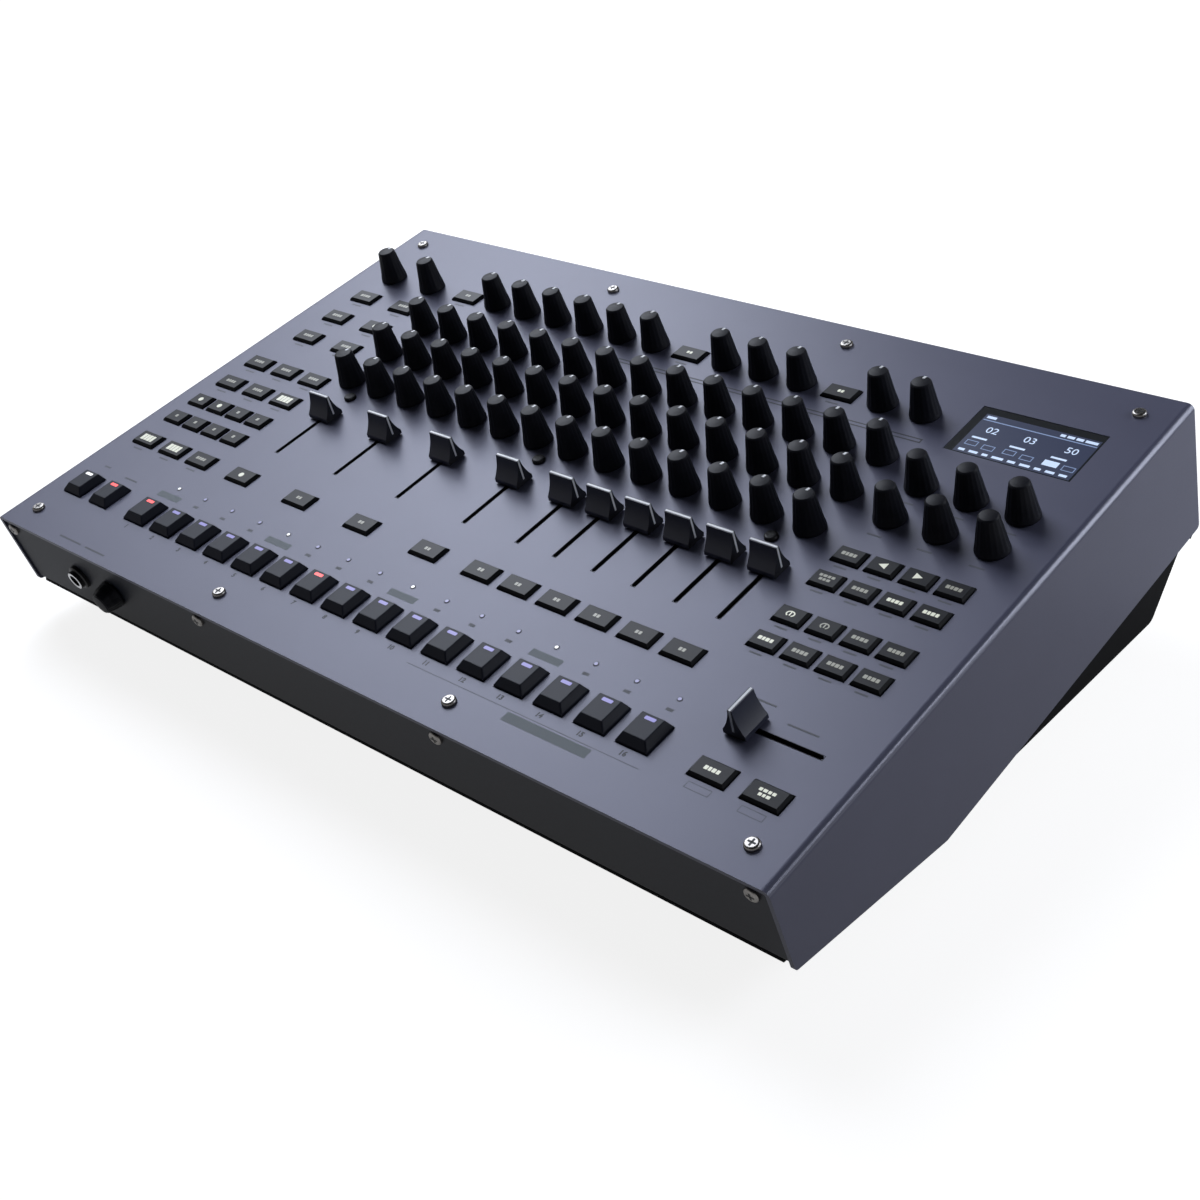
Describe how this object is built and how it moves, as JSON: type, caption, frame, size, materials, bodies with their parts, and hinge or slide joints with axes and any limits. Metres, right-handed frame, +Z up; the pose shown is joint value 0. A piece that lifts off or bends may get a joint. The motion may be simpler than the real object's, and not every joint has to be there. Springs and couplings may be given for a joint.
{
  "type": "drum machine",
  "caption": "Table-top drum machine: sloping blue-grey panel with knobs, track faders, step keys and a small display, over a black chassis with rear sockets.",
  "frame": {"origin": "centre of the bounding box in X and Y, at the plane that the feet stand on", "axes": "+X to the player's right along the front edge, +Y away from the player to the rear wall, +Z up; the panel slopes up to the rear"},
  "size_m": [0.486, 0.3162, 0.1202],
  "materials": {
    "case_paint": "satin metallic blue-grey",
    "chassis_paint": "fine textured black",
    "front_paint": "fine textured dark grey",
    "block_metal": "satin",
    "screw_steel": "bright zinc",
    "foot_rubber": "matte",
    "display_glass": "clear",
    "display_body": "matte",
    "circuit_board": "satin",
    "control_metal": "satin",
    "switch_plastic": "matte",
    "light_pipe": "clear",
    "socket_plastic": "satin",
    "socket_metal": "satin",
    "rocker_plastic": "gloss",
    "knob_plastic": "satin",
    "encoder_plastic": "satin",
    "key_plastic": "satin",
    "button_plastic": "satin",
    "fader_plastic": "satin"
  },
  "bodies": {
    "root": {"top_cover": "case_paint", "bottom_case": "chassis_paint", "front_panel": "front_paint", "rear_panel": "front_paint", "corner_blocks": "block_metal", "case_screws": "screw_steel", "rubber_feet": "foot_rubber", "display_window": "display_glass", "display_module": "display_body", "control_board": "circuit_board", "main_board": "circuit_board", "power_supply": "circuit_board", "potentiometers": "control_metal", "slide_potentiometers": "control_metal", "key_switches": "switch_plastic", "step_lights": "light_pipe", "phones_jack": "socket_plastic", "output_jacks": "socket_plastic", "midi_sockets": "socket_plastic", "usb_socket": "socket_metal", "mains_inlet": "socket_plastic", "track_knobs": "knob_plastic"},
    "top_knob_01": {"top_knob_01": "knob_plastic"},
    "top_knob_02": {"top_knob_02": "knob_plastic"},
    "top_knob_03": {"top_knob_03": "knob_plastic"},
    "top_knob_04": {"top_knob_04": "knob_plastic"},
    "top_knob_05": {"top_knob_05": "knob_plastic"},
    "top_knob_06": {"top_knob_06": "knob_plastic"},
    "top_knob_07": {"top_knob_07": "knob_plastic"},
    "top_knob_08": {"top_knob_08": "knob_plastic"},
    "top_knob_09": {"top_knob_09": "knob_plastic"},
    "top_knob_10": {"top_knob_10": "knob_plastic"},
    "top_knob_11": {"top_knob_11": "knob_plastic"},
    "top_knob_12": {"top_knob_12": "knob_plastic"},
    "top_knob_13": {"top_knob_13": "knob_plastic"},
    "encoder_knob_1": {"encoder_knob_1": "encoder_plastic"},
    "encoder_knob_2": {"encoder_knob_2": "encoder_plastic"},
    "encoder_knob_3": {"encoder_knob_3": "encoder_plastic"},
    "encoder_knob_4": {"encoder_knob_4": "encoder_plastic"},
    "encoder_knob_5": {"encoder_knob_5": "encoder_plastic"},
    "encoder_knob_6": {"encoder_knob_6": "encoder_plastic"},
    "phones_level_knob": {"phones_level_knob": "knob_plastic"},
    "power_rocker": {"power_rocker": "rocker_plastic"},
    "track_fader_01": {"track_fader_01": "fader_plastic"},
    "track_fader_02": {"track_fader_02": "fader_plastic"},
    "track_fader_03": {"track_fader_03": "fader_plastic"},
    "track_fader_04": {"track_fader_04": "fader_plastic"},
    "track_fader_05": {"track_fader_05": "fader_plastic"},
    "track_fader_06": {"track_fader_06": "fader_plastic"},
    "track_fader_07": {"track_fader_07": "fader_plastic"},
    "track_fader_08": {"track_fader_08": "fader_plastic"},
    "track_fader_09": {"track_fader_09": "fader_plastic"},
    "track_fader_10": {"track_fader_10": "fader_plastic"},
    "sweep_fader": {"sweep_fader": "fader_plastic"},
    "step_keys": {"step_keys": "key_plastic"},
    "transport_keys": {"transport_keys": "key_plastic"},
    "track_buttons": {"track_buttons": "button_plastic"},
    "mode_buttons": {"mode_buttons": "button_plastic"},
    "pattern_buttons": {"pattern_buttons": "button_plastic"},
    "menu_buttons": {"menu_buttons": "button_plastic"}
  },
  "joints": [
    {"name": "top_knob_01_turn", "type": "hinge", "parent": "root", "child": "top_knob_01", "pos_m": [-0.2131, 0.0977, 0.10163], "axis": [0, -0.1599, 0.9871], "range_deg": [-150, 150]},
    {"name": "top_knob_02_turn", "type": "hinge", "parent": "root", "child": "top_knob_02", "pos_m": [-0.18121, 0.0977, 0.10163], "axis": [0, -0.1599, 0.9871], "range_deg": [-150, 150]},
    {"name": "top_knob_03_turn", "type": "hinge", "parent": "root", "child": "top_knob_03", "pos_m": [-0.12893, 0.0977, 0.10163], "axis": [0, -0.1599, 0.9871], "range_deg": [-150, 150]},
    {"name": "top_knob_04_turn", "type": "hinge", "parent": "root", "child": "top_knob_04", "pos_m": [-0.10637, 0.0977, 0.10163], "axis": [0, -0.1599, 0.9871], "range_deg": [-150, 150]},
    {"name": "top_knob_05_turn", "type": "hinge", "parent": "root", "child": "top_knob_05", "pos_m": [-0.08379, 0.0977, 0.10163], "axis": [0, -0.1599, 0.9871], "range_deg": [-150, 150]},
    {"name": "top_knob_06_turn", "type": "hinge", "parent": "root", "child": "top_knob_06", "pos_m": [-0.06123, 0.0977, 0.10163], "axis": [0, -0.1599, 0.9871], "range_deg": [-150, 150]},
    {"name": "top_knob_07_turn", "type": "hinge", "parent": "root", "child": "top_knob_07", "pos_m": [-0.03866, 0.0977, 0.10163], "axis": [0, -0.1599, 0.9871], "range_deg": [-150, 150]},
    {"name": "top_knob_08_turn", "type": "hinge", "parent": "root", "child": "top_knob_08", "pos_m": [-0.01608, 0.0977, 0.10163], "axis": [0, -0.1599, 0.9871], "range_deg": [-150, 150]},
    {"name": "top_knob_09_turn", "type": "hinge", "parent": "root", "child": "top_knob_09", "pos_m": [0.02906, 0.0977, 0.10163], "axis": [0, -0.1599, 0.9871], "range_deg": [-150, 150]},
    {"name": "top_knob_10_turn", "type": "hinge", "parent": "root", "child": "top_knob_10", "pos_m": [0.05162, 0.0977, 0.10163], "axis": [0, -0.1599, 0.9871], "range_deg": [-150, 150]},
    {"name": "top_knob_11_turn", "type": "hinge", "parent": "root", "child": "top_knob_11", "pos_m": [0.07419, 0.0977, 0.10163], "axis": [0, -0.1599, 0.9871], "range_deg": [-150, 150]},
    {"name": "top_knob_12_turn", "type": "hinge", "parent": "root", "child": "top_knob_12", "pos_m": [0.11933, 0.0977, 0.10163], "axis": [0, -0.1599, 0.9871], "range_deg": [-150, 150]},
    {"name": "top_knob_13_turn", "type": "hinge", "parent": "root", "child": "top_knob_13", "pos_m": [0.14191, 0.0977, 0.10163], "axis": [0, -0.1599, 0.9871], "range_deg": [-150, 150]},
    {"name": "encoder_knob_1_turn", "type": "hinge", "parent": "root", "child": "encoder_knob_1", "pos_m": [0.169, 0.05229, 0.09427], "axis": [0, -0.1599, 0.9871], "continuous": true},
    {"name": "encoder_knob_2_turn", "type": "hinge", "parent": "root", "child": "encoder_knob_2", "pos_m": [0.19301, 0.05229, 0.09427], "axis": [0, -0.1599, 0.9871], "continuous": true},
    {"name": "encoder_knob_3_turn", "type": "hinge", "parent": "root", "child": "encoder_knob_3", "pos_m": [0.21701, 0.05229, 0.09427], "axis": [0, -0.1599, 0.9871], "continuous": true},
    {"name": "encoder_knob_4_turn", "type": "hinge", "parent": "root", "child": "encoder_knob_4", "pos_m": [0.169, 0.02889, 0.09048], "axis": [0, -0.1599, 0.9871], "continuous": true},
    {"name": "encoder_knob_5_turn", "type": "hinge", "parent": "root", "child": "encoder_knob_5", "pos_m": [0.19301, 0.02889, 0.09048], "axis": [0, -0.1599, 0.9871], "continuous": true},
    {"name": "encoder_knob_6_turn", "type": "hinge", "parent": "root", "child": "encoder_knob_6", "pos_m": [0.21701, 0.02889, 0.09048], "axis": [0, -0.1599, 0.9871], "continuous": true},
    {"name": "phones_level_knob_turn", "type": "hinge", "parent": "root", "child": "phones_level_knob", "pos_m": [-0.15651, -0.1481, 0.04063], "axis": [0, -0.9684, -0.2494], "range_deg": [-150, 150]},
    {"name": "power_rocker_turn", "type": "hinge", "parent": "root", "child": "power_rocker", "pos_m": [-0.16401, 0.14974, 0.07865], "axis": [1, 0, 0], "range_deg": [-22, 0]},
    {"name": "track_fader_01_slide", "type": "slide", "parent": "root", "child": "track_fader_01", "axis": [0, -0.9871, -0.1599], "range_m": [0, 0.03]},
    {"name": "track_fader_02_slide", "type": "slide", "parent": "root", "child": "track_fader_02", "axis": [0, -0.9871, -0.1599], "range_m": [0, 0.03]},
    {"name": "track_fader_03_slide", "type": "slide", "parent": "root", "child": "track_fader_03", "axis": [0, -0.9871, -0.1599], "range_m": [0, 0.03]},
    {"name": "track_fader_04_slide", "type": "slide", "parent": "root", "child": "track_fader_04", "axis": [0, -0.9871, -0.1599], "range_m": [0, 0.03]},
    {"name": "track_fader_05_slide", "type": "slide", "parent": "root", "child": "track_fader_05", "axis": [0, -0.9871, -0.1599], "range_m": [0, 0.03]},
    {"name": "track_fader_06_slide", "type": "slide", "parent": "root", "child": "track_fader_06", "axis": [0, -0.9871, -0.1599], "range_m": [0, 0.03]},
    {"name": "track_fader_07_slide", "type": "slide", "parent": "root", "child": "track_fader_07", "axis": [0, -0.9871, -0.1599], "range_m": [0, 0.03]},
    {"name": "track_fader_08_slide", "type": "slide", "parent": "root", "child": "track_fader_08", "axis": [0, -0.9871, -0.1599], "range_m": [0, 0.03]},
    {"name": "track_fader_09_slide", "type": "slide", "parent": "root", "child": "track_fader_09", "axis": [0, -0.9871, -0.1599], "range_m": [0, 0.03]},
    {"name": "track_fader_10_slide", "type": "slide", "parent": "root", "child": "track_fader_10", "axis": [0, -0.9871, -0.1599], "range_m": [0, 0.03]},
    {"name": "sweep_fader_slide", "type": "slide", "parent": "root", "child": "sweep_fader", "axis": [1, 0, 0], "range_m": [0, 0.03]},
    {"name": "step_keys_slide", "type": "slide", "parent": "root", "child": "step_keys", "axis": [0, 0.1599, -0.9871], "range_m": [0, 0.001], "stiffness_N_per_m": 400, "springref_m": -0.004},
    {"name": "transport_keys_slide", "type": "slide", "parent": "root", "child": "transport_keys", "axis": [0, 0.1599, -0.9871], "range_m": [0, 0.001], "stiffness_N_per_m": 400, "springref_m": -0.004},
    {"name": "track_buttons_slide", "type": "slide", "parent": "root", "child": "track_buttons", "axis": [0, 0.1599, -0.9871], "range_m": [0, 0.0006], "stiffness_N_per_m": 400, "springref_m": -0.004},
    {"name": "mode_buttons_slide", "type": "slide", "parent": "root", "child": "mode_buttons", "axis": [0, 0.1599, -0.9871], "range_m": [0, 0.0006], "stiffness_N_per_m": 400, "springref_m": -0.004},
    {"name": "pattern_buttons_slide", "type": "slide", "parent": "root", "child": "pattern_buttons", "axis": [0, 0.1599, -0.9871], "range_m": [0, 0.0006], "stiffness_N_per_m": 400, "springref_m": -0.004},
    {"name": "menu_buttons_slide", "type": "slide", "parent": "root", "child": "menu_buttons", "axis": [0, 0.1599, -0.9871], "range_m": [0, 0.0006], "stiffness_N_per_m": 400, "springref_m": -0.004}
  ]
}
